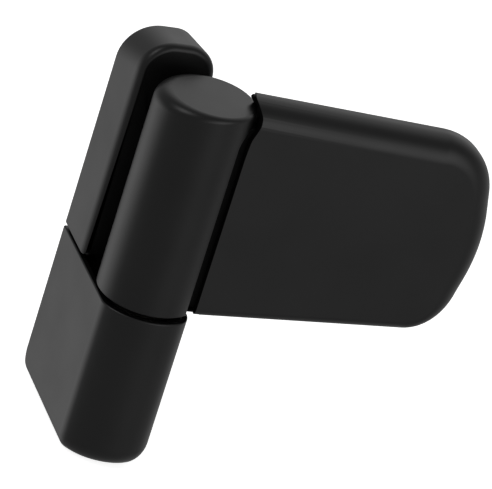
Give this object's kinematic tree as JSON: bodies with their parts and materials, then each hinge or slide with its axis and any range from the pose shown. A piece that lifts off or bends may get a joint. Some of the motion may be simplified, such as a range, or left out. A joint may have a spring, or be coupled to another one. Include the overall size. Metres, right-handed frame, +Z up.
{
  "type": "flag hinge",
  "caption": "Door hinge with a deep frame part, a round capped knuckle and a wide tapered flag, all under smooth black moulded covers",
  "frame": {"origin": "On the back of the frame packer, which is the face that lies on the door frame, on the middle line of the lower cover's width and at the height of the knuckle's lower end.", "axes": "+Z is up along the hinge pin. -Y points away from the door frame, towards the viewer. +X runs along the closed flag."},
  "size_m": [0.1046, 0.0607, 0.1153],
  "materials": {
    "moulded_cover": "satin black injection moulding",
    "nylon_packer": "plain black nylon",
    "coated_zinc": "black coated zinc die casting",
    "bearing_polymer": "natural bearing polymer",
    "plated_steel": "bright zinc plated steel"
  },
  "bodies": {
    "frame_part": {"frame_packer": "nylon_packer", "frame_bracket": "coated_zinc", "hinge_pin": "plated_steel", "compression_bush": "bearing_polymer", "thrust_washer": "bearing_polymer", "height_screw": "plated_steel", "pin_lock_screw": "plated_steel", "frame_screw_1": "plated_steel", "frame_screw_2": "plated_steel", "frame_screw_3": "plated_steel", "frame_screw_4": "plated_steel", "frame_screw_5": "plated_steel", "lower_cover": "moulded_cover", "upper_cover": "moulded_cover"},
    "flag": {"flag_leaf": "coated_zinc", "lower_bush": "bearing_polymer", "upper_bush": "bearing_polymer", "knuckle_cover": "moulded_cover", "flag_cover": "moulded_cover", "sash_plate": "plated_steel", "lateral_cam": "plated_steel", "clamp_screw_1": "plated_steel", "clamp_screw_2": "plated_steel", "sash_screw_1": "plated_steel", "sash_screw_2": "plated_steel", "sash_screw_3": "plated_steel", "sash_screw_4": "plated_steel"}
  },
  "joints": [
    {"name": "flag_swing", "type": "hinge", "parent": "frame_part", "child": "flag", "pos_m": [0.0018, -0.0358, 0], "axis": [0, 0, -1], "range_deg": [0, 180]}
  ]
}
